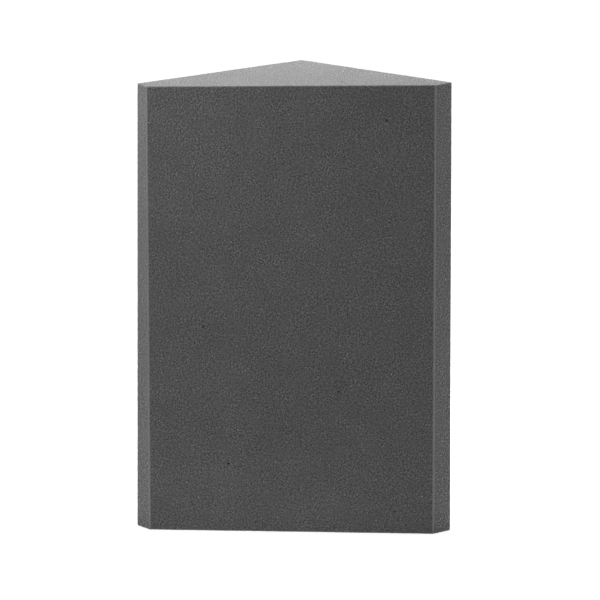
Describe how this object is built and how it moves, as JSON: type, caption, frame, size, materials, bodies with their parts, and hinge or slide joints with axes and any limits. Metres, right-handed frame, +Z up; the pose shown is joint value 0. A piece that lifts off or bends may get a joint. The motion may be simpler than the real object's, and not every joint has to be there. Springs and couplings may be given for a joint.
{
  "type": "corner bass trap",
  "caption": "Triangular open-cell foam block that fills the upright corner between two walls, with blunt front tips and peel-off mounting tape on both wall faces.",
  "frame": {"origin": "on the floor plane, under the middle of the block's bounding box", "axes": "+Z up the block, -Y out of the front face into the room, +Y into the room's corner, +X to the right seen from the front"},
  "size_m": [0.423, 0.2326, 0.6],
  "materials": {
    "foam": "charcoal open-cell polyurethane foam, wire-cut, matt and finely pored",
    "tape": "white closed-cell polyethylene foam tape",
    "liner": "silicone-coated kraft release paper, satin"
  },
  "bodies": {
    "root": {"foam_block": "foam", "left_inner_tape": "tape", "left_outer_tape": "tape", "right_inner_tape": "tape", "right_outer_tape": "tape", "left_inner_liner": "liner", "left_outer_liner": "liner", "right_inner_liner": "liner", "right_outer_liner": "liner"}
  },
  "joints": []
}
